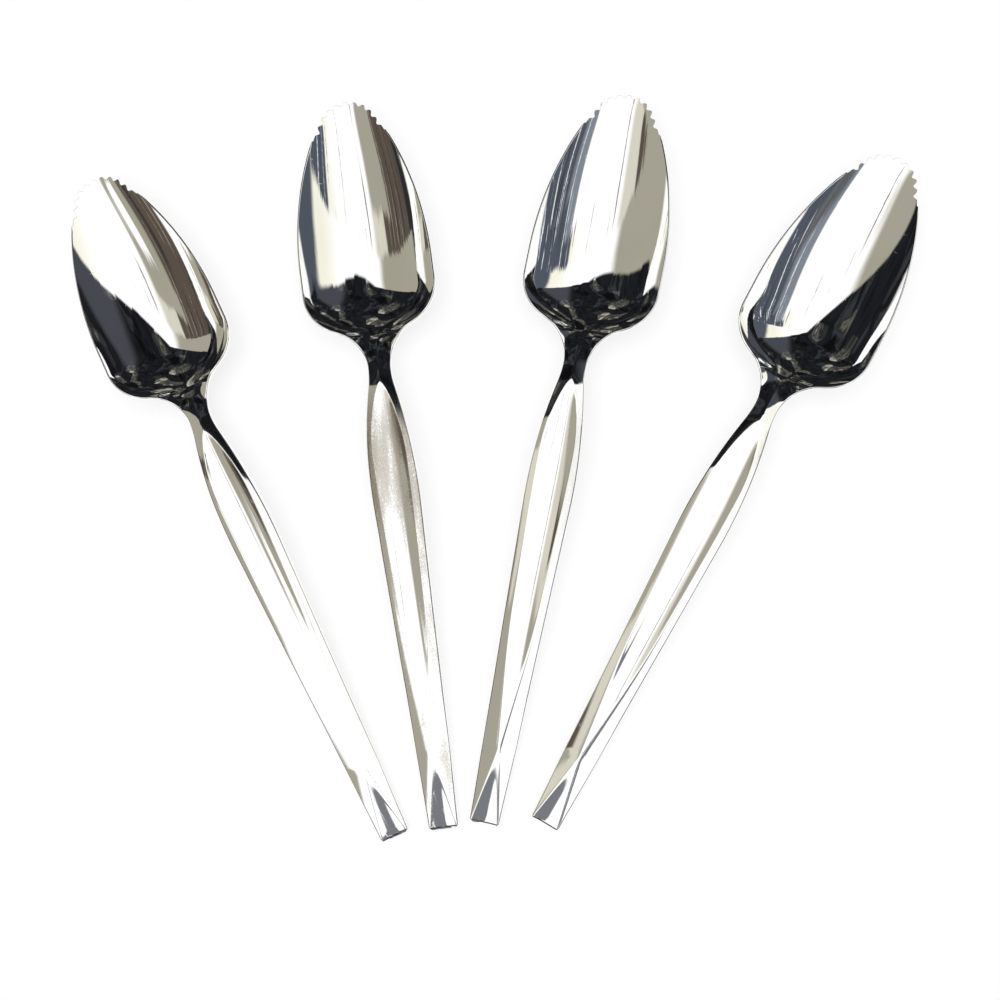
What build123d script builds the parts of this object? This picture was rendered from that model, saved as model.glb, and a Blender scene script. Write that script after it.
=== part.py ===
import os
from math import acos, asin, atan2, cos, hypot, radians, sin, sqrt, tan

from build123d import *

os.makedirs("parts", exist_ok=True)

# Plan of one spoon, y runs from the handle end at 0 to the bowl tip
overall_length = 152.4
bowl_length = 57.0
bowl_width = 28.0
bowl_widest_from_tip = 35.0
nose_width = 7.9
side_run = 5.1
flare_radius = 9.2
neck_width = 4.9
neck_radius = 20.0
handle_width = 10.1
handle_widest_to_neck = 25.9
end_width = 6.3
end_corner_radius = 0.9

# Side view along the middle of one spoon, z is up from the table
rim_level = 9.0
tip_level = 8.1
arch_corner_level = 9.2
heel_slope = 33.0
arch_radius = 7.5
floor_radius = 22.0
end_thickness = 1.9
arch_thickness = 2.7
bowl_thickness = 1.5
rim_thickness = 1.6
rim_land = 0.1
tip_thickness = 0.9

# Slanting sides of the handle top, their crest lines cross near the end and at the neck
facet_slope = 0.26
end_crossing = 15.8
tail_width = 5.5
panel_width = 6.8
panel_widest_to_neck = 19.2
panel_waist_width = 5.3
panel_waist_slope = 0.03
heel_facet_length = 9.5
heel_facet_spread = 0.2

# Teeth round the tip
tooth_count = 9
tooth_pitch = 2.05
tooth_inset = 0.4
notch_radius = 0.9
notch_depth = 0.8
notch_sides = 6
shoulder_from_tip = 8.3

# Where the handle end of each spoon lies, and its turn in degrees
far_left_x = -20.9
far_left_y = -70.2
far_left_turn = 25.0
left_x = -10.9
left_y = -68.5
left_turn = 7.5
right_x = -2.7
right_y = -67.4
right_turn = -11.8
far_right_x = 9.6
far_right_y = -67.3
far_right_turn = -28.4

# Cutting shapes run this far past the metal
overrun = 1.0

end_half = end_width / 2
handle_half = handle_width / 2
neck_half = neck_width / 2
nose_half = nose_width / 2
bowl_half = bowl_width / 2
neck_at = overall_length - bowl_length
heel_facet_end = neck_at + heel_facet_length
widest_at = overall_length - bowl_widest_from_tip
heel_at = widest_at - side_run
heel_length = heel_at - neck_at
shoulder_at = overall_length - shoulder_from_tip
handle_widest = neck_at - handle_widest_to_neck
panel_widest = neck_at - panel_widest_to_neck
heel = radians(heel_slope)


# Drop of an arc away from its tangent
def bulge(radius, run):
    return radius - sqrt(radius**2 - run**2)


def fitted_radius(rise, run):
    return (rise**2 + run**2) / (2 * rise)


# A smooth curve through knots, each a place, a value and a slope
def glide(y, *knots):
    for (y0, v0, s0), (y1, v1, s1) in zip(knots, knots[1:]):
        if y <= y1:
            run = y1 - y0
            t = (y - y0) / run
            ease = t * t * (3 - 2 * t)
            return v0 + (v1 - v0) * ease + run * t * (1 - t) * (s0 * (1 - t) - s1 * t)


def steps(start, stop, count):
    return [start + (stop - start) * n / count for n in range(count + 1)]


# Roundness across the spoon, of the hollow top and of the back
top_radius = fitted_radius(rim_level - bowl_thickness, bowl_half - rim_land)
back_radius = fitted_radius(rim_level - rim_thickness, bowl_half)

# Two tangent arcs swing the outline from handle to neck, and two more from neck to bowl
leaf_radius = fitted_radius(handle_half - neck_half, handle_widest_to_neck) - neck_radius
leaf_end = neck_at - handle_widest_to_neck * neck_radius / (leaf_radius + neck_radius)
heel_radius = fitted_radius(bowl_half - neck_half, heel_length) - flare_radius
flare_end = neck_at + heel_length * flare_radius / (heel_radius + flare_radius)
side_radius = fitted_radius(bowl_half - nose_half, bowl_widest_from_tip)

# The straight handle edge is tangent to the leaf arc
leaf_centre = leaf_radius - (handle_half - end_half)
taper = asin(leaf_radius / hypot(handle_widest, leaf_centre)) - atan2(leaf_centre, handle_widest)
taper_end = (handle_widest - leaf_centre * tan(taper)) / (1 + tan(taper) ** 2)


def half_width(y):
    if y < taper_end:
        return end_half + y * tan(taper)
    if y < leaf_end:
        return handle_half - bulge(leaf_radius, y - handle_widest)
    if y < neck_at:
        return neck_half + bulge(neck_radius, neck_at - y)
    if y < flare_end:
        return neck_half + bulge(flare_radius, y - neck_at)
    return bowl_half - bulge(heel_radius, heel_at - y)


# From a corner between a slope and the heel to the middle of its rounding
def corner_reach(radius, slope):
    reach = radius / cos((slope + heel) / 2)
    lean = (slope - heel) / 2
    return reach * sin(lean), reach * cos(lean)


# Side view of one face: handle, heel and tip are straight, with a rounded corner between each
class SideView:
    def __init__(self, end_level, arch_level, floor_level, nose_level, bend_radius, cross_radius):
        self.end_level = end_level
        self.bend_radius = bend_radius
        self.bend_centre = floor_level + bend_radius
        self.cross_radius = cross_radius

        # The tip line is tangent to the floor's rounding
        depth = self.bend_centre - nose_level
        swing = acos(bend_radius / hypot(bowl_widest_from_tip, depth))
        nose = atan2(bowl_widest_from_tip, depth) - swing
        along, down = corner_reach(bend_radius, nose)
        floor_corner = (widest_at + along, self.bend_centre - down)

        # The handle line ends where the heel line comes up to the arch
        arch_corner = (floor_corner[0] - (arch_level - floor_corner[1]) / tan(heel), arch_level)
        self.rise = atan2(arch_level - end_level, arch_corner[0])
        along, down = corner_reach(arch_radius, self.rise)
        self.arch_at = arch_corner[0] + along
        self.arch_centre = arch_level - down

        self.corners = [
            (-overrun, end_level - overrun * tan(self.rise)),
            arch_corner,
            floor_corner,
            (overall_length + overrun, nose_level + overrun * tan(nose)),
        ]
        with BuildLine(Plane.YZ) as line:
            Polyline(*self.corners)
            corners = line.vertices().sort_by(Axis.Y)
            fillet(corners[1], arch_radius)
            fillet(corners[2], bend_radius)
        self.path = line.wire()

    # Level of the face anywhere from the handle end to the bowl's lowest place
    def level(self, x, y):
        lift = bulge(self.cross_radius, x)
        arch = arch_radius + lift
        bend = self.bend_radius - lift
        if y < self.arch_at - arch * sin(self.rise):
            return self.end_level + y * tan(self.rise) + lift / cos(self.rise)
        if y < self.arch_at + arch * sin(heel):
            return self.arch_centre + sqrt(arch**2 - (y - self.arch_at) ** 2)
        if y < widest_at - bend * sin(heel):
            return self.arch_centre + (arch - (y - self.arch_at) * sin(heel)) / cos(heel)
        return self.bend_centre - sqrt(bend**2 - (y - widest_at) ** 2)


top_view = SideView(
    end_thickness,
    arch_corner_level,
    bowl_thickness,
    tip_level,
    floor_radius,
    top_radius,
)
back_view = SideView(
    0,
    arch_corner_level - arch_thickness,
    0,
    tip_level - tip_thickness,
    floor_radius + bowl_thickness,
    back_radius,
)


def tail_crest(y):
    return tail_width / 2 * (1 - y / end_crossing)


def panel_crest(y):
    panel_waist = (end_crossing + panel_widest) / 2
    return glide(
        y,
        (end_crossing, 0, panel_waist_width / 2 / (panel_waist - end_crossing)),
        (panel_waist, panel_waist_width / 2, panel_waist_slope),
        (panel_widest, panel_width / 2, 0),
        (neck_at, 0, -panel_width / panel_widest_to_neck),
    )


def heel_crest(y):
    spread = half_width(heel_facet_end)
    steepest = 2 * spread / heel_facet_length
    return glide(y, (neck_at, 0, heel_facet_spread), (heel_facet_end, spread, steepest))


# The tooth line follows the outline of the tip, a little inside it
side_centre = bowl_half - side_radius
nose_radius = (side_radius**2 - bowl_widest_from_tip**2 - side_centre**2) / (
    2 * (side_radius - bowl_widest_from_tip)
)
nose_run = bowl_widest_from_tip - nose_radius
reach = (side_radius - tooth_inset) / hypot(side_centre, nose_run)
blend = (side_centre * (1 - reach), widest_at + nose_run * reach)


def tooth_side(y):
    return (side_centre + sqrt((side_radius - tooth_inset) ** 2 - (y - widest_at) ** 2), y)


with BuildLine() as tooth_line:
    right = ThreePointArc(tooth_side(shoulder_at), tooth_side((shoulder_at + blend[1]) / 2), blend)
    ThreePointArc(blend, (0, overall_length - tooth_inset), (-blend[0], blend[1]))
    mirror(right, about=Plane.YZ)
tooth_wire = tooth_line.wire()

notches = []
for n in range(tooth_count + 1):
    along = 0.5 + (n - tooth_count / 2) * tooth_pitch / tooth_wire.length
    outward = (tooth_wire % along).rotate(Axis.Z, -90)
    middle = tooth_wire @ along + outward * (notch_radius - notch_depth)
    notches.append(Plane(middle, x_dir=outward).location)

with BuildSketch() as tip_waste:
    with Locations((0, shoulder_at)):
        Rectangle(bowl_width, 2 * shoulder_from_tip, align=(Align.CENTER, Align.MIN))
    with BuildLine():
        add(tooth_line.line)
        Line(tooth_wire @ 1, tooth_wire @ 0)
    make_face(mode=Mode.SUBTRACT)
    with Locations(notches):
        RegularPolygon(notch_radius, notch_sides, major_radius=False, rotation=180 / notch_sides)

with BuildSketch() as outline:
    with BuildLine():
        with BuildLine() as side:
            edge = Line((end_half, 0), (half_width(taper_end), taper_end))
            for place in (leaf_end, neck_at, flare_end, heel_at):
                edge = TangentArc(edge @ 1, (half_width(place), place), tangent=edge % 1)
            edge = Line(edge @ 1, (bowl_half, widest_at))
            TangentArc(edge @ 1, (nose_half, overall_length), tangent=edge % 1)
        mirror(side.line, about=Plane.YZ)
        for place, half in ((0, end_half), (overall_length, nose_half)):
            Line((-half, place), (half, place))
    make_face()
    fillet(outline.vertices().group_by(Axis.Y)[0], end_corner_radius)


# A section with one round side is swept along a side view and takes away all beyond that face
def gutter(view, depth):
    half = bowl_half + overrun
    lip = bulge(view.cross_radius, half)
    start = Plane(view.path @ 0, x_dir=(-1, 0, 0), z_dir=view.path % 0)
    with BuildSketch(start) as section:
        with BuildLine():
            ThreePointArc((-half, lip), (0, 0), (half, lip))
            Polyline((half, lip), (half, depth), (-half, depth), (-half, lip))
        make_face()
    sweep(section.sketch, path=view.path, mode=Mode.SUBTRACT)


# Cuts one slanting side of the handle top, from its crest line out past the outline
def facet(places, crest_at, side):
    sections = []
    for y in places:
        crest = crest_at(y)
        level = top_view.level(crest, y)
        inner = crest - overrun / 2
        outer = half_width(y) + overrun
        with BuildSketch(Plane.XZ.offset(-y)) as section:
            Polygon(
                (side * inner, level + facet_slope * (crest - inner)),
                (side * outer, level + facet_slope * (crest - outer)),
                (side * outer, level + rim_level),
                (side * inner, level + rim_level),
                align=None,
            )
        sections.append(section.sketch)
    loft(sections, mode=Mode.SUBTRACT)


# The bent sheet from the side, with metal to spare underneath
with BuildSketch(Plane.YZ) as slab:
    Polygon(
        *[(y, z - overrun) for y, z in back_view.corners],
        (overall_length + overrun, rim_level),
        (-overrun, rim_level),
        align=None,
    )

with BuildPart() as spoon:
    # The outline and the side view give the blank, then come its round back and its hollow top
    extrude(outline.sketch, amount=rim_level)
    extrude(slab.sketch, amount=bowl_width, both=True, mode=Mode.INTERSECT)
    gutter(back_view, -arch_radius / 2)
    gutter(top_view, rim_level + 2 * overrun)

    # Slanting sides of the handle, each pair closing to a point
    for side in (1, -1):
        facet(steps(-overrun, end_crossing, 1), tail_crest, side)
        facet(steps(end_crossing, neck_at, 8), panel_crest, side)
        facet(steps(neck_at, heel_facet_end, 5), heel_crest, side)

    # Teeth
    extrude(tip_waste.sketch, amount=rim_level, mode=Mode.SUBTRACT)

# The fan of spoons is centred on the origin
poses = {
    "far_left_spoon": Location((far_left_x, far_left_y, 0), (0, 0, far_left_turn)),
    "left_spoon": Location((left_x, left_y, 0), (0, 0, left_turn)),
    "right_spoon": Location((right_x, right_y, 0), (0, 0, right_turn)),
    "far_right_spoon": Location((far_right_x, far_right_y, 0), (0, 0, far_right_turn)),
}
centre = Compound([spoon.part.moved(pose) for pose in poses.values()]).bounding_box().center()

for name, pose in poses.items():
    with BuildPart() as piece:
        with Locations(Location((-centre.X, -centre.Y, 0)) * pose):
            add(spoon.part)
    piece.part.label = name
    export_step(piece.part, f"parts/{name}.step")
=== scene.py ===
from math import acos, asin, atan, atan2, cos, hypot, pi, radians, sin, sqrt, tan

import bpy
from mathutils import Matrix, Vector
from mathutils.geometry import delaunay_2d_cdt


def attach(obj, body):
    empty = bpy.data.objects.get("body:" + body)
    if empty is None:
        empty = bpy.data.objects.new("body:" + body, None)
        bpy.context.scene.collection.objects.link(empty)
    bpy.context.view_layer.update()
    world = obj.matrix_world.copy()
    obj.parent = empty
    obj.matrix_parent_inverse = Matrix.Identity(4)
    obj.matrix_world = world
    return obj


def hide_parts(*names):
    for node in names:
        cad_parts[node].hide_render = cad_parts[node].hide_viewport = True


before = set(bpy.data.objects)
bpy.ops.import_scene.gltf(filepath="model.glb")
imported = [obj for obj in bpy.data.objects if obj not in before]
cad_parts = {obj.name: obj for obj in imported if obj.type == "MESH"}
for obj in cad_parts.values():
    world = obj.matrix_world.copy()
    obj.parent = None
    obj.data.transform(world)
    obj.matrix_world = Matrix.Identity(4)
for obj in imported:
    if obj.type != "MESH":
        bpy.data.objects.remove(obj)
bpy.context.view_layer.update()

print("frame loaded,", len(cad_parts), "nodes")

# One spoon, in mm, lying along y with the handle end at 0
spoon = {
    "length": 152.4,
    "bowlLength": 57.0,
    "bowlHalf": 14.0,
    "widestFromTip": 35.0,
    "noseHalf": 3.95,
    "sideRun": 5.1,
    "flareRadius": 9.2,
    "neckHalf": 2.45,
    "neckRadius": 20.0,
    "handleHalf": 5.05,
    "handleWidestToNeck": 25.9,
    "endHalf": 3.15,
    "endCorner": 0.9,
    "rimTop": 9.0,
    "rimThickness": 1.6,
    "rimLand": 0.1,
    "handleRound": 8.5,
    "backRound": 17.0,
    "neckRound": 5.0,
    "neckRun": 26.0,
    # Middle of the top, thickness and rim along the spoon: place, height and slope
    "side": [
        (0.0, 1.9, 0.0755),
        (91.0, 8.77, 0.0755),
        (103.4, 5.3, -0.78),
        (113.6, 1.5, 0.0),
        (152.4, 8.1, 0.24),
    ],
    "gauge": [(0.0, 1.9, 0.0), (93.0, 2.7, 0.0), (113.6, 1.5, 0.0), (152.4, 0.9, 0.0)],
    "rim": [(95.0, 8.6, 0.0), (106.0, 9.0, 0.0), (135.0, 9.0, 0.0), (152.4, 8.55, -0.05)],
    "facetSlope": 0.245,
    "facetCurve": 0.012,
    "ridgeRound": 0.1,
    "neckDroop": 0.36,  # how far the facets sink below the crest lines at the neck
    "droopRun": 18.0,
    "heelDroop": 1.5,
    "backRun": 11.0,
    "endCrossing": 15.8,
    "tailHalf": 2.75,
    "tailRound": 15.0,
    "tailDrop": 0.62,
    "tailPower": 1.3,
    "panelHalf": 3.4,
    "panelWidestToNeck": 19.2,
    "waistHalf": 2.65,
    "waistSlope": 0.03,
    "heelFacet": 8.0,
    "crestSoftness": 0.09,  # how far the crest lines are rounded over
    "handleEdge": 0.55,
    "rimEdge": 0.28,
    "endRound": 0.45,
    "endRoll": 0.3,
    "rollRun": 0.95,
    "toothRound": 0.06,
}

# Saw teeth round the tip, blunt, with narrower notches between them
teeth = {
    "count": 9,
    "pitch": 2.05,
    "inset": 0.46,
    "depth": 0.62,
    "lobe": 1.3,  # above 1 makes the teeth broader than the notches
    "fromTip": 7.7,
    "shoulder": 0.3,
    "shoulderRun": 1.6,
}

# How closely the skin is divided
net = {
    "handleTo": 86.0,
    "handleRows": 80,
    "neckTo": 118.0,
    "neckRows": 64,
    "rimRows": 26,
    "bowlRows": 58,
    "bowlStep": 1.15,
    "crestLines": (-0.15, -0.05, 0, 0.05, 0.15),
    "panelColumns": 9,
    "facetColumns": 8,
    "rimLines": (0.55, 0.8, 1.15),
    "edgeBends": 4,
}


def bulge(radius, run):
    return radius - sqrt(max(radius**2 - run**2, 0.0))


def fittedRadius(rise, run):
    return (rise**2 + run**2) / (2 * rise)


def softMin(a, b, softness):
    return 0.5 * (a + b - sqrt((a - b) ** 2 + softness**2))


def steps(start, stop, count):
    return [start + (stop - start) * n / count for n in range(count + 1)]


# A smooth curve through knots, each a place, a value and a slope
def glide(y, *knots):
    for (y0, v0, s0), (y1, v1, s1) in zip(knots, knots[1:]):
        if y <= y1:
            run = y1 - y0
            t = (y - y0) / run
            ease = t * t * (3 - 2 * t)
            return v0 + (v1 - v0) * ease + run * t * (1 - t) * (s0 * (1 - t) - s1 * t)
    return knots[-1][1]


neckAt = spoon["length"] - spoon["bowlLength"]
widestAt = spoon["length"] - spoon["widestFromTip"]
heelAt = widestAt - spoon["sideRun"]
heelLength = heelAt - neckAt
shoulderAt = spoon["length"] - teeth["fromTip"]
handleWidest = neckAt - spoon["handleWidestToNeck"]
panelWidest = neckAt - spoon["panelWidestToNeck"]
heelFacetEnd = neckAt + spoon["heelFacet"]
neckDroop = [(neckAt - spoon["droopRun"], 0.0, 0.0), (neckAt, spoon["neckDroop"], 0.02)]
heelDroop = [(neckAt, spoon["neckDroop"], 0.13), (heelFacetEnd, spoon["heelDroop"], 0.1)]

# Tangent arcs swing the outline from handle to neck and from neck to bowl
leafRun = spoon["handleWidestToNeck"]
leafRadius = fittedRadius(spoon["handleHalf"] - spoon["neckHalf"], leafRun) - spoon["neckRadius"]
leafEnd = neckAt - leafRun * spoon["neckRadius"] / (leafRadius + spoon["neckRadius"])
heelRadius = fittedRadius(spoon["bowlHalf"] - spoon["neckHalf"], heelLength) - spoon["flareRadius"]
flareEnd = neckAt + heelLength * spoon["flareRadius"] / (heelRadius + spoon["flareRadius"])
tipRun = spoon["widestFromTip"]
sideRadius = fittedRadius(spoon["bowlHalf"] - spoon["noseHalf"], tipRun)
leafCentre = leafRadius - (spoon["handleHalf"] - spoon["endHalf"])
taper = asin(leafRadius / hypot(handleWidest, leafCentre)) - atan2(leafCentre, handleWidest)
taperEnd = (handleWidest - leafCentre * tan(taper)) / (1 + tan(taper) ** 2)

# The tooth line: an arc along the side and one round the nose, both a little inside the outline
sideCentre = spoon["bowlHalf"] - sideRadius
noseRadius = (sideRadius**2 - tipRun**2 - sideCentre**2) / (2 * (sideRadius - tipRun))
noseAt = spoon["length"] - noseRadius
toothSide = sideRadius - teeth["inset"]
toothNose = noseRadius - teeth["inset"]
noseTurn = atan2(-sideCentre, noseAt - widestAt)


def halfWidth(y):
    if y < taperEnd:
        return spoon["endHalf"] + y * tan(taper)
    if y < leafEnd:
        return spoon["handleHalf"] - bulge(leafRadius, y - handleWidest)
    if y < neckAt:
        return spoon["neckHalf"] + bulge(spoon["neckRadius"], neckAt - y)
    if y < flareEnd:
        return spoon["neckHalf"] + bulge(spoon["flareRadius"], y - neckAt)
    if y < heelAt:
        return spoon["bowlHalf"] - bulge(heelRadius, heelAt - y)
    return spoon["bowlHalf"] - bulge(sideRadius, max(y - widestAt, 0.0))


# The middle of the sheet from the side, and how round the sheet is across
def middleLevel(y):
    return glide(max(y, 0.0), *spoon["side"])


def thickness(y):
    return glide(max(y, 0.0), *spoon["gauge"])


def rimLevel(y):
    return glide(y, *spoon["rim"])


def hollowRadius(y):
    if y < neckAt - spoon["neckRun"]:
        return spoon["handleRound"]
    if y < heelFacetEnd:
        start = fittedRadius(rimLevel(heelFacetEnd) - middleLevel(heelFacetEnd), halfWidth(heelFacetEnd))
        return glide(
            y,
            (neckAt - spoon["neckRun"], spoon["handleRound"], 0.0),
            (neckAt - 3, spoon["neckRound"], 0.0),
            (heelFacetEnd, start, 0.9),
        )
    return fittedRadius(rimLevel(y) - middleLevel(y), max(halfWidth(y) - spoon["rimLand"], 2.0))


# Half width between the crest lines, None in the bowl where there are none
def crestHalf(y):
    if y < spoon["endCrossing"]:
        return spoon["tailHalf"] * (1 - y / spoon["endCrossing"])
    if y < neckAt:
        waistAt = (spoon["endCrossing"] + panelWidest) / 2
        return glide(
            y,
            (spoon["endCrossing"], 0, spoon["waistHalf"] / (waistAt - spoon["endCrossing"])),
            (waistAt, spoon["waistHalf"], spoon["waistSlope"]),
            (panelWidest, spoon["panelHalf"], 0),
            (neckAt, 0, -2 * spoon["panelHalf"] / spoon["panelWidestToNeck"]),
        )
    return 0.0 if y < heelFacetEnd else None


def topLevel(x, y):
    middle = middleLevel(y)
    radius = hollowRadius(y)
    if y < spoon["endCrossing"]:
        middle -= spoon["tailDrop"] * (1 - max(y, 0.0) / spoon["endCrossing"]) ** spoon["tailPower"]
        radius = spoon["tailRound"]
    z = middle + bulge(radius, x)
    crest = crestHalf(max(y, 0.0))
    if crest is not None:
        off = sqrt(x * x + spoon["ridgeRound"] ** 2) - spoon["ridgeRound"] - crest
        facet = middle + bulge(radius, crest)
        facet -= spoon["facetSlope"] * off + spoon["facetCurve"] * max(off, 0.0) ** 2
        if y > neckAt - spoon["droopRun"]:
            facet -= glide(y, *(heelDroop if y > neckAt else neckDroop))
        # the facets die away in the heel
        fade = glide(max(y, neckAt), (neckAt, 0.0, 0.0), (heelFacetEnd, 1.0, 0.0))
        z = fade * z + (1 - fade) * softMin(z, facet, spoon["crestSoftness"])
    if y < spoon["rollRun"]:
        z -= spoon["endRoll"] * (1 - max(y, 0.0) / spoon["rollRun"]) ** 2
    return softMin(z, spoon["rimTop"], spoon["crestSoftness"])


def backLevel(x, y):
    thick = thickness(y)
    curve = bulge(spoon["backRound"], x)
    if y > neckAt:
        rise = max(rimLevel(y) - spoon["rimThickness"] - middleLevel(y) + thick, 0.2)
        bowlRound = bulge(fittedRadius(rise, max(halfWidth(y), 2.0)), x)
        share = glide(y, (neckAt, 0.0, 0.0), (neckAt + spoon["backRun"], 1.0, 0.0))
        curve += share * (bowlRound - curve)
    return middleLevel(y) - thick + curve


def uprightNormal(level, x, y):
    step = 0.01
    dx = (level(x + step, y) - level(x - step, y)) / (2 * step)
    dy = (level(x, y + step) - level(x, y - step)) / (2 * step)
    return Vector((-dx, -dy, 1.0)).normalized()


# Notched edge on the right of the tip, from its shoulder to the middle
def toothEdge():
    pitch = teeth["pitch"]
    noseArc = toothNose * noseTurn
    shoulder = noseArc + toothSide * (acos((shoulderAt - widestAt) / toothSide) - noseTurn)
    last = (teeth["count"] + 1) * pitch / 2
    stops = steps(shoulder, last, 2)[:-1] + steps(last, 0.0, 8 * (teeth["count"] + 1))[:-1]
    points = []
    for along in stops:
        wave = 0.0 if along > last else 0.5 - 0.5 * cos(2 * pi * (last - along) / pitch)
        cut = teeth["depth"] * wave ** teeth["lobe"]
        if along < noseArc:
            a = along / toothNose
            middle = (0.0, noseAt)
            reach = toothNose - cut
        else:
            a = noseTurn + (along - noseArc) / toothSide
            middle = (sideCentre, widestAt)
            reach = toothSide - cut
        points.append((middle[0] + reach * sin(a), middle[1] + reach * cos(a)))
    return points + [(0.0, spoon["length"] - teeth["inset"])]


# Plan outline, anticlockwise from the middle of the handle end
def wholeOutline():
    corner = spoon["endCorner"]
    flat = spoon["endHalf"] - corner
    right = [(flat * n / 5, 0.0) for n in range(5)]
    for a in steps(0, pi / 2, 8):
        y = corner * (1 - cos(a))
        right.append((flat + corner * sin(a) + y * tan(taper), y))
    stretches = [
        (corner, net["handleTo"], net["handleRows"]),
        (net["handleTo"], net["neckTo"], net["neckRows"]),
        (net["neckTo"], shoulderAt - 0.1, net["rimRows"]),
    ]
    for stretch in stretches:
        for y in steps(*stretch)[1:]:
            shave = max(y - shoulderAt + teeth["shoulderRun"], 0.0) / teeth["shoulderRun"]
            right.append((halfWidth(y) - teeth["shoulder"] * shave**2, y))
    right += toothEdge()
    return right + [(-x, y) for x, y in reversed(right[1:-1])]


# Points inside the outline: rows across the handle, joined lengthwise, then lines beside the rim
# and a net in the bowl
def insidePoints(outline):
    points = []
    links = []
    taken = {}
    last = {}

    def keep(x, y, space):
        cell = (round(x / 0.5), round(y / 0.5))
        for i in (-1, 0, 1):
            for j in (-1, 0, 1):
                for px, py in taken.get((cell[0] + i, cell[1] + j), ()):
                    if hypot(px - x, py - y) < space:
                        return None
        taken.setdefault(cell, []).append((x, y))
        points.append((x, y))
        return len(points) - 1

    neckRows = steps(net["handleTo"], net["neckTo"], net["neckRows"])[1:]
    rows = [0.5, 0.7] + steps(spoon["endCorner"], net["handleTo"], net["handleRows"])
    rows += [y for y in neckRows if y < heelFacetEnd - 0.1]
    for row, y in enumerate(rows):
        crest = crestHalf(y)
        room = halfWidth(y) - 0.42
        spots = {"middle": 0.0}
        spots.update({("crest", off): crest + off for off in net["crestLines"]})
        beside = net["crestLines"][-1]
        if crest > 0.6:
            columns = net["panelColumns"]
            spots.update({("panel", n): (crest - beside) * n / columns for n in range(1, columns)})
        if room - crest > 0.5:
            columns = net["facetColumns"]
            wide = room - crest - beside
            spots.update({("facet", n): crest + beside + wide * n / columns for n in range(1, columns + 1)})
        for column, x in spots.items():
            for side in (1, -1):
                spot = keep(side * x, y, 0.03) if 0 <= x < room + 0.01 else None
                if spot is not None:
                    before = last.get((column, side))
                    if before and before[0] == row - 1:
                        links.append((before[1], spot))
                    last[column, side] = (row, spot)
    for n, (x, y) in enumerate(outline):
        (x0, y0), (x1, y1) = outline[n - 1], outline[(n + 1) % len(outline)]
        run = hypot(x1 - x0, y1 - y0)
        if heelFacetEnd < y < shoulderAt - 0.5:
            for inset in net["rimLines"]:
                keep(x - inset * (y1 - y0) / run, y + inset * (x1 - x0) / run, 0.22)
    for n, y in enumerate(steps(heelFacetEnd, spoon["length"] - 2.0, net["bowlRows"])):
        room = halfWidth(y) - 0.6
        if y > shoulderAt - 0.8:
            room = halfWidth(y) - 1.5
        if y > noseAt:
            room = min(room, sqrt(max((toothNose - 1.1) ** 2 - (y - noseAt) ** 2, 0.0)))
        x = 0.5 * net["bowlStep"] * (n % 2)
        while x < room:
            keep(x, y, 0.4)
            keep(-x, y, 0.4)
            x += net["bowlStep"]
    return points, links


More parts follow.
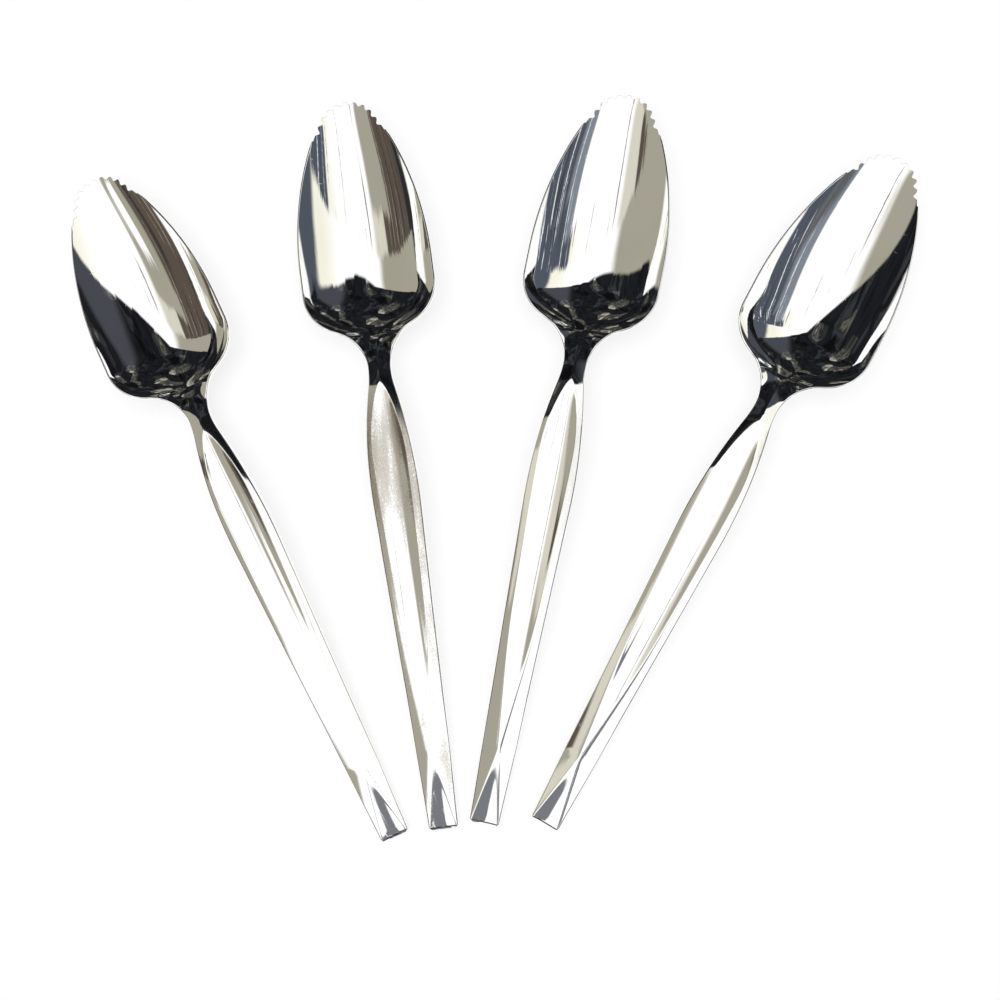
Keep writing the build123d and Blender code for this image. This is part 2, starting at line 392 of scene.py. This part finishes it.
# A closed skin: the top, a rounded rim and the back, with normals worked out from the same formulas
def spoonMesh():
    outline = wholeOutline()
    count = len(outline)
    bends = net["edgeBends"]
    rings = [[] for n in range(2 * bends + 2)]
    facing = [[] for n in range(2 * bends + 2)]
    for n, (x, y) in enumerate(outline):
        (x0, y0), (x1, y1) = outline[n - 1], outline[(n + 1) % count]
        run = hypot(x1 - x0, y1 - y0)
        out = Vector(((y1 - y0) / run, (x0 - x1) / run, 0.0))
        edge = Vector((x, y, 0.0))
        near = edge - out * 0.2
        top = topLevel(x, y)
        back = backLevel(x, y)
        topSlope = (top - topLevel(near.x, near.y)) / 0.2
        backSlope = (back - backLevel(near.x, near.y)) / 0.2
        reach = topSlope + sqrt(1 + topSlope**2) - backSlope + sqrt(1 + backSlope**2)
        edgeRounds = [(neckAt - 8, spoon["handleEdge"], 0.0), (heelFacetEnd, spoon["rimEdge"], 0.0)]
        bend = glide(max(y, neckAt - 8), *edgeRounds)
        if y > shoulderAt - 0.3:
            bend = spoon["toothRound"]
        bend += (spoon["endRound"] - bend) * max(1 - y / spoon["endCorner"], 0.0)
        bend = min(bend, 0.9 * (top - back) / reach)
        for side, level, slope in ((1, topLevel, -topSlope), (-1, backLevel, backSlope)):
            first = atan(slope)
            inner = edge - out * bend * (1 - sin(first))
            middle = level(inner.x, inner.y) - side * bend * cos(first)
            for k, a in enumerate(steps(first, pi / 2, bends)):
                ring = k if side > 0 else 2 * bends + 1 - k
                spot = edge + out * bend * (sin(a) - 1)
                rings[ring].append(Vector((spot.x, spot.y, middle + side * bend * cos(a))))
                facing[ring].append(out * sin(a) + Vector((0, 0, side * cos(a))))

    points = []
    normals = []
    for ring, faces in zip(rings, facing):
        for n in range(count):
            along = (ring[(n + 1) % count] - ring[n - 1]).normalized()
            points.append(ring[n])
            normals.append((faces[n] - along * along.dot(faces[n])).normalized())
    polygons = []
    for k in range(len(rings) - 1):
        for n in range(count):
            m = (n + 1) % count
            polygons.append((k * count + n, (k + 1) * count + n, (k + 1) * count + m, k * count + m))

    inside, links = insidePoints(outline)
    links = [(count + a, count + b) for a, b in links]
    for ring, level, side in ((0, topLevel, 1), (len(rings) - 1, backLevel, -1)):
        flat = [v.xy for v in rings[ring]] + [Vector(p) for p in inside]
        found, edges, faces, source, sourceEdges, sourceFaces = delaunay_2d_cdt(
            flat, links, [list(range(count))], 1, 1e-5
        )
        index = []
        for spot, origin in zip(found, source):
            onEdge = [k for k in origin if k < count]
            if onEdge:
                index.append(ring * count + onEdge[0])
                normals[index[-1]] = uprightNormal(level, spot.x, spot.y) * side
            else:
                index.append(len(points))
                points.append(Vector((spot.x, spot.y, level(spot.x, spot.y))))
                normals.append(uprightNormal(level, spot.x, spot.y) * side)
        for face in faces:
            corners = [index[k] for k in face]
            polygons.append(corners if side > 0 else corners[::-1])

    mesh = bpy.data.meshes.new("spoonSkin")
    mesh.from_pydata([v * 0.001 for v in points], [], polygons)
    mesh.shade_smooth()
    mesh.normals_split_custom_set_from_vertices(normals)
    # place in mm, and how far outside the crest line, or 9 off the top of the handle
    spots = mesh.attributes.new("spot", "FLOAT_VECTOR", "POINT")
    for item, v, normal in zip(spots.data, points, normals):
        crest = crestHalf(max(v.y, 0.0))
        item.vector = (v.x, v.y, 9.0 if crest is None or normal.z < 0.5 else abs(v.x) - crest)
    mesh.update()
    return mesh, outline


skin, outline = spoonMesh()
print("spoon skin made,", len(skin.vertices), "points,", len(skin.polygons), "faces")


# A socket of a shader, so that sums on sockets read as sums
class Signal:
    def __init__(self, tree, socket=None):
        self.tree = tree
        self.socket = socket

    # Any node, from its type, its settings, and the values or links of its sockets
    def node(self, kind, settings=None, sockets=None, out=0):
        made = self.tree.nodes.new(kind)
        for name, value in (settings or {}).items():
            if name == "stops":
                ramp = made.color_ramp
                ramp.elements[0].position, ramp.elements[0].color = value[0]
                ramp.elements[1].position, ramp.elements[1].color = value[-1]
                for place, colour in value[1:-1]:
                    ramp.elements.new(place).color = colour
            else:
                setattr(made, name, value)
        for name, value in (sockets or {}).items():
            if isinstance(value, Signal):
                self.tree.links.new(value.socket, made.inputs[name])
            else:
                made.inputs[name].default_value = value
        return Signal(self.tree, made.outputs[out] if len(made.outputs) else None)

    def maths(self, operation, *values):
        return self.node("ShaderNodeMath", {"operation": operation}, dict(enumerate(values)))

    def __add__(self, other):
        return self.maths("ADD", self, other)

    def __radd__(self, other):
        return self.maths("ADD", other, self)

    def __sub__(self, other):
        return self.maths("SUBTRACT", self, other)

    def __rsub__(self, other):
        return self.maths("SUBTRACT", other, self)

    def __mul__(self, other):
        return self.maths("MULTIPLY", self, other)

    def __rmul__(self, other):
        return self.maths("MULTIPLY", other, self)

    def __truediv__(self, other):
        return self.maths("DIVIDE", self, other)

    def __rtruediv__(self, other):
        return self.maths("DIVIDE", other, self)

    # 0 below the first value, 1 above the second, and a smooth rise between
    def ramp(self, low, high):
        limits = {"Value": self, "From Min": low, "From Max": high, "To Min": 0.0, "To Max": 1.0}
        return self.node("ShaderNodeMapRange", {"interpolation_type": "SMOOTHSTEP"}, limits)

    def mix(self, first, second):
        return self.node("ShaderNodeMix", {"data_type": "RGBA"}, {0: self, 6: first, 7: second}, 2)


def newShader(name):
    material = bpy.data.materials.new(name)
    material.use_nodes = True
    material.node_tree.nodes.clear()
    return material, Signal(material.node_tree)


# Display colour from 0 to 255 as the light it stands for
def tint(red, green, blue):
    shown = (red / 255, green / 255, blue / 255)
    light = [v / 12.92 if v < 0.04045 else ((v + 0.055) / 1.055) ** 2.4 for v in shown]
    return (*light, 1.0)


# Polished stainless steel, one finish for each spoon
steel = {
    "bright": tint(255, 255, 254),
    "dull": tint(247, 247, 244),
    "worn": tint(214, 207, 195),
    "wornDark": tint(146, 135, 121),
    "gloss": 0.014,
    "polishLines": 0.028,
    "scratches": 0.03,
    "wornRoughness": 0.22,
    "bump": 0.05,
}

# Handle end and turn of each spoon in the fan, mm and degrees, how far its handle is worn, and how
# far the wear keeps to its right edge
fan = {
    "far_left_spoon": {"end": (-20.9, -70.2), "turn": 25.0, "wear": 0.15, "wornEdge": 1.0},
    "left_spoon": {"end": (-10.9, -68.5), "turn": 7.5, "wear": 1.0, "wornEdge": 0.0},
    "right_spoon": {"end": (-2.7, -67.4), "turn": -11.8, "wear": 0.35, "wornEdge": 1.0},
    "far_right_spoon": {"end": (9.6, -67.3), "turn": -28.4, "wear": 0.15, "wornEdge": 1.0},
}


def polishedSteel(name, seed, piece):
    material, shader = newShader(name)
    spot = shader.node("ShaderNodeAttribute", {"attribute_name": "spot"}, out="Vector")
    apart = shader.node("ShaderNodeSeparateXYZ", sockets={0: spot}).socket.node.outputs
    x, y, beside = (Signal(shader.tree, apart[axis]) for axis in "XYZ")

    # noise drawn out along or across the spoon, in specks to the mm
    def noise(across, along, detail=2.0):
        laid = shader.node("ShaderNodeCombineXYZ", sockets={0: x * across, 1: y * along, 2: 7.3 * seed})
        return shader.node("ShaderNodeTexNoise", sockets={"Vector": laid, "Scale": 1.0, "Detail": detail})

    onHandle = 1 - y.ramp(82.0, 94.0)
    onTop = 1 - beside.ramp(4.0, 6.0)  # not on the side walls and the back
    outside = beside.ramp(-0.6, 0.2) * onTop
    rightEdge = x.ramp(1.2, 3.2) * outside
    lines = noise(7.0, 0.22, 3.0)  # polishing lines along the spoon
    hair = noise(2.6, 0.35, 4.0).ramp(0.66, 0.74) + noise(0.4, 2.2, 4.0).ramp(0.69, 0.77)
    film = noise(0.09, 0.06, 3.0).ramp(0.45, 0.75)
    specks = noise(4.5, 2.6, 5.0)
    cloud = noise(0.6, 0.10, 2.0)
    upper = y.ramp(46.0, 78.0)
    patches = specks * 0.5 + cloud * 0.5 + outside * 0.06 + rightEdge * 0.05 + upper * 0.18
    worn = patches.ramp(0.57, 0.78) * onHandle * piece["wear"] * (1 - piece["wornEdge"] * (1 - rightEdge))
    worn = worn * onTop
    colour = (film * 0.7).mix(steel["bright"], steel["dull"])
    stain = (specks * 0.7 + cloud * 0.3).ramp(0.38, 0.62).mix(steel["wornDark"], steel["worn"])
    colour = (worn * 0.85).mix(colour, stain)
    rough = steel["gloss"] + lines * steel["polishLines"] * (0.2 + onHandle) + hair * steel["scratches"]
    rough = rough + worn * steel["wornRoughness"] + film * 0.01
    height = lines * 0.3 + hair * 0.4 + worn * specks * 1.5
    bumped = shader.node(
        "ShaderNodeBump", sockets={"Strength": steel["bump"], "Distance": 0.00006, "Height": height}
    )
    surface = shader.node(
        "ShaderNodeBsdfPrincipled",
        sockets={"Base Color": colour, "Metallic": 1.0, "Roughness": rough, "Normal": bumped},
    )
    shader.node("ShaderNodeOutputMaterial", sockets={"Surface": surface})
    return material


# The fan is centred on the origin, as its solids are
turned = {
    name: Matrix.Translation((*piece["end"], 0.0)) @ Matrix.Rotation(radians(piece["turn"]), 4, "Z")
    for name, piece in fan.items()
}
corners = [place @ Vector((*point, 0.0)) for place in turned.values() for point in outline]
middle = Vector(
    [(min(v[axis] for v in corners) + max(v[axis] for v in corners)) / 2 for axis in (0, 1)] + [0.0]
)
for seed, (name, place) in enumerate(turned.items()):
    piece = bpy.data.objects.new("polished_" + name, skin.copy())
    piece.data.transform(Matrix.Translation((place.translation - middle) * 0.001) @ place.to_3x3().to_4x4())
    bpy.context.collection.objects.link(piece)
    piece.data.materials.append(polishedSteel("steel_" + name, seed, fan[name]))
    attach(piece, "root")
    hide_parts(name)
print("spoons laid out, middle of the fan at", [round(v, 3) for v in middle])

# The studio: a white table, a soft lamp overhead, and a tent of cloths for the metal to mirror, in metres
studio = {
    "table": 0.34,
    "tableReach": 9.0,
    "tableDrop": 0.0002,
    "skylight": 0.35,
    "lampPower": 18.0,
    "lampSize": 1.6,
    "lampHeight": 1.4,
    "tentRadius": 20.0,
    "tentGlow": 1.07,
}

# Plain cloths of the tent
tentShades = {
    "night": tint(44, 43, 45),
    "umber": tint(86, 78, 70),
    "sand": tint(160, 156, 142),
    "linen": tint(208, 204, 190),
    "white": tint(255, 255, 255),
    "cream": tint(240, 238, 222),
    "mist": tint(124, 131, 141),
    "slate": tint(78, 84, 95),
}

# Strips from the left of the tent to its right: an edge and its softness, in degrees from straight up,
# and the cloth beyond the edge. The rows lie past the bowls, overhead, and two on the side of the handles.
tentRows = [
    {
        "strips": [(-79, 2, "sand"), (-24, 5, "white"), (40, 14, "cream"), (60, 3, "slate")],
    },
    {
        "begins": (-4.5, -2.5),
        "strips": [
            (-76, 2, "umber"),
            (-37, 1, "linen"),
            (-20, 3, "white"),
            (30, 10, "cream"),
            (37, 1, "slate"),
        ],
    },
    {
        "begins": (4.0, 6.5),
        "strips": [
            (-76, 2, "umber"),
            (-47, 2, "sand"),
            (-21, 2, "white"),
            (39, 1, "mist"),
            (48, 2, "slate"),
        ],
    },
    {
        "begins": (14.0, 17.0),
        "strips": [
            (-76, 2, "umber"),
            (-45, 2, "sand"),
            (-36, 1, "white"),
            (39, 1, "mist"),
            (52, 3, "slate"),
        ],
    },
]


def tentShader():
    material, shader = newShader("tentCloth")
    place = shader.node("ShaderNodeTexCoord", out="Object")
    aim = shader.node("ShaderNodeVectorMath", {"operation": "NORMALIZE"}, {0: place})
    apart = shader.node("ShaderNodeSeparateXYZ", sockets={0: aim}).socket.node.outputs
    x, y, z = (Signal(shader.tree, apart[axis]) for axis in "XYZ")
    waver = shader.node("ShaderNodeTexNoise", sockets={"Vector": aim, "Scale": 4.0, "Detail": 3.0}) - 0.5
    across = x.maths("ARCSINE", x) * (180 / pi)
    along = x.maths("ARCTAN2", y * -1.0, z) * (180 / pi)
    aside = x.maths("ABSOLUTE", across)
    hung = across + waver * 4.0

    # thin folds in the cloth, light and dark, that run from end to end
    def folds(count, offset):
        laid = shader.node("ShaderNodeCombineXYZ", sockets={0: across * count, 1: along * 0.018, 2: offset})
        return shader.node("ShaderNodeTexNoise", sockets={"Vector": laid, "Scale": 1.0, "Detail": 2.0})

    ragged = along + waver * 4.0 + (folds(0.5, 27.0) - 0.5) * 9.0
    colour = None
    for row in tentRows:
        cloth = tentShades["night"]
        for edge, soft, shade in row["strips"]:
            cloth = hung.ramp(edge - soft, edge + soft).mix(cloth, tentShades[shade])
        colour = ragged.ramp(*row["begins"]).mix(colour, cloth) if colour else cloth

    rightSide = across.ramp(39.0, 43.0) * along.ramp(-6.0, -1.0)
    leftSide = 1 - across.ramp(-44.0, -37.0)
    upright = along.ramp(-4.0, 1.0)
    pale = folds(0.5, 3.0).ramp(0.58, 0.62)
    colour = (pale * rightSide * 0.9).mix(colour, tint(226, 229, 233))
    colour = (pale * leftSide * upright * 0.5).mix(colour, tint(172, 163, 148))
    deep = folds(0.5, 11.0).ramp(0.58, 0.65)
    colour = (deep * (leftSide * upright * 0.8 + rightSide * 0.6)).mix(colour, tint(36, 35, 38))
    overhead = upright * (1 - along.ramp(6.0, 9.0)) * across.ramp(-36.0, -30.0)
    crease = folds(0.3, 19.0).ramp(0.57, 0.60) * overhead
    colour = (crease * 0.85 * (1 - rightSide)).mix(colour, tint(86, 86, 88))

    # a grey card and a darker one far down on the side of the handles
    card = along.ramp(19.2, 20.2) * (1 - x.maths("ABSOLUTE", across - 2.5).ramp(12.5, 13.5))
    colour = (card * folds(0.3, 33.0).ramp(0.36, 0.40)).mix(colour, tint(116, 118, 124))
    darkCard = along.ramp(36.0, 44.0) * (1 - along.ramp(56.0, 66.0)) * (1 - aside.ramp(45.0, 60.0))
    darkCloth = folds(0.12, 41.0).ramp(0.35, 0.65).mix(tint(46, 47, 49), tint(92, 93, 94))
    colour = darkCard.mix(colour, darkCloth)

    # the unlit end of the tent, rounded at the top and mottled
    cells = shader.node("ShaderNodeTexVoronoi", sockets={"Vector": aim, "Scale": 5.0}, out="Color")
    cell = Signal(shader.tree, shader.node("ShaderNodeSeparateXYZ", sockets={0: cells}).socket)
    mottle = {"Vector": aim, "Scale": 4.0, "Detail": 2.5, "Distortion": 0.8}
    shapes = shader.node("ShaderNodeTexNoise", sockets=mottle)
    darkStops = [
        (0.30, tint(14, 14, 16)),
        (0.42, tint(30, 31, 35)),
        (0.50, tint(20, 21, 23)),
        (0.56, tint(52, 54, 58)),
        (0.60, tint(34, 35, 37)),
        (0.64, tint(92, 91, 84)),
        (0.68, tint(44, 44, 46)),
        (0.75, tint(176, 173, 161)),
    ]
    dark = shader.node("ShaderNodeValToRGB", {"stops": darkStops}, {"Fac": shapes * 0.62 + cell * 0.36})
    dark = (across.ramp(24.0, 34.0) * along.ramp(-62.0, -50.0) * 0.85).mix(dark, tint(72, 75, 82))
    rise = x.maths("MAXIMUM", along + 69.0, 0.0) / 58.0
    sweep = across / 66.0
    reach = x.maths("SQRT", rise * rise + sweep * sweep) + (cell - 0.5) * 0.03
    colour = reach.ramp(0.985, 1.005).mix(dark, colour)

    # the table's edge of the tent stays pale at the sides
    low = (1 - z.ramp(0.04, 0.10)) * aside.ramp(50.0, 60.0)
    colour = low.mix(colour, tint(250, 250, 248))
    glow = shader.node(
        "ShaderNodeBsdfPrincipled",
        sockets={
            "Base Color": (0.0, 0.0, 0.0, 1.0),
            "Roughness": 1.0,
            "Specular IOR Level": 0.0,
            "Emission Color": colour,
            "Emission Strength": studio["tentGlow"],
        },
    )
    shader.node("ShaderNodeOutputMaterial", sockets={"Surface": glow})
    return material


def tentMesh():
    points = []
    faces = []
    rows, turns = 24, 64
    for k in range(rows + 1):
        rise = pi / 2 * k / rows
        for n in range(turns):
            a = 2 * pi * n / turns
            points.append((cos(rise) * cos(a), cos(rise) * sin(a), sin(rise)))
    for k in range(rows):
        for n in range(turns):
            m = (n + 1) % turns
            faces.append((k * turns + n, k * turns + m, (k + 1) * turns + m, (k + 1) * turns + n))
    mesh = bpy.data.meshes.new("tent")
    mesh.from_pydata([Vector(p) * studio["tentRadius"] for p in points], [], faces)
    return mesh


# Sight lines, mirrored ones too, take the second of two shaders
def seen(shader):
    path = shader.node("ShaderNodeLightPath").socket.node.outputs
    straight = Signal(shader.tree, path["Is Camera Ray"])
    mirrored = Signal(shader.tree, path["Is Glossy Ray"])
    through = Signal(shader.tree, path["Is Transmission Ray"])
    total = straight + mirrored + through
    return total.maths("MINIMUM", total, 1.0)


def tableShader():
    material, shader = newShader("whiteTable")
    paint = {"Base Color": (studio["table"],) * 3 + (1.0,), "Roughness": 1.0, "Specular IOR Level": 0.0}
    plain = shader.node("ShaderNodeBsdfPrincipled", sockets=paint)
    place = shader.node("ShaderNodeTexCoord", out="Object")
    away = shader.node("ShaderNodeVectorMath", {"operation": "LENGTH"}, {0: place}, "Value")
    away = away / studio["lampHeight"]
    spread = away * away + 1.0
    lamplight = (1 - studio["skylight"]) / (spread * spread)  # the lamp's share fades away from the fan
    fill = 1 - studio["table"] * (studio["skylight"] + lamplight)
    lit = {**paint, "Emission Color": fill, "Emission Strength": 1.0}
    shown = shader.node("ShaderNodeBsdfPrincipled", sockets=lit)
    mixed = shader.node("ShaderNodeMixShader", sockets={0: seen(shader), 1: plain, 2: shown})
    shader.node("ShaderNodeOutputMaterial", sockets={"Surface": mixed})
    return material


tableMesh = bpy.data.meshes.new("table")
far, drop = studio["tableReach"], -studio["tableDrop"]
tableCorners = [(-far, -far, drop), (far, -far, drop), (far, far, drop), (-far, far, drop)]
tableMesh.from_pydata(tableCorners, [], [(0, 1, 2, 3)])
table = bpy.data.objects.new("table", tableMesh)
table.data.materials.append(tableShader())
tent = bpy.data.objects.new("tent", tentMesh())
tent.data.materials.append(tentShader())
tent.visible_camera = False
tent.visible_diffuse = False
tent.visible_shadow = False
for item in (table, tent):
    bpy.context.collection.objects.link(item)

lampData = bpy.data.lights.new("softLamp", "AREA")
lampData.size = studio["lampSize"]
lampData.energy = studio["lampPower"]
lamp = bpy.data.objects.new("softLamp", lampData)
lamp.location = (0.0, 0.0, studio["lampHeight"])
lamp.visible_glossy = False
bpy.context.collection.objects.link(lamp)

scene = bpy.context.scene
scene.view_settings.view_transform = "Standard"
scene.world = scene.world or bpy.data.worlds.new("studio")
scene.world.use_nodes = True
scene.world.node_tree.nodes.clear()
sky = Signal(scene.world.node_tree)
white = (1.0, 1.0, 1.0, 1.0)
dim = sky.node("ShaderNodeBackground", sockets={"Strength": studio["skylight"], "Color": white})
bright = sky.node("ShaderNodeBackground", sockets={"Strength": 1.0, "Color": white})
both = sky.node("ShaderNodeMixShader", sockets={0: seen(sky), 1: dim, 2: bright})
sky.node("ShaderNodeOutputWorld", sockets={"Surface": both})
print("studio set")

# The camera hangs over the fan, a little off the plumb line
view = {"aim": (0.76, -0.83), "distance": 280.0, "nod": -3.78, "lean": -5.57, "roll": 0.2, "lens": 48.38}
cameraData = bpy.data.cameras.new("camera")
cameraData.lens = view["lens"]
cameraData.sensor_width = 36.0
cameraData.clip_start = 0.01
camera = bpy.data.objects.new("camera", cameraData)
sight = Matrix.Rotation(radians(view["nod"]), 4, "X") @ Matrix.Rotation(radians(view["lean"]), 4, "Y")
sight = (Matrix.Rotation(radians(view["roll"]), 4, "Z") @ sight).transposed()
target = Vector((*view["aim"], 0.0)) - middle
camera.matrix_world = Matrix.Translation((sight @ Vector((0, 0, view["distance"])) + target) * 0.001) @ sight
bpy.context.collection.objects.link(camera)
scene.camera = camera
print("camera set")
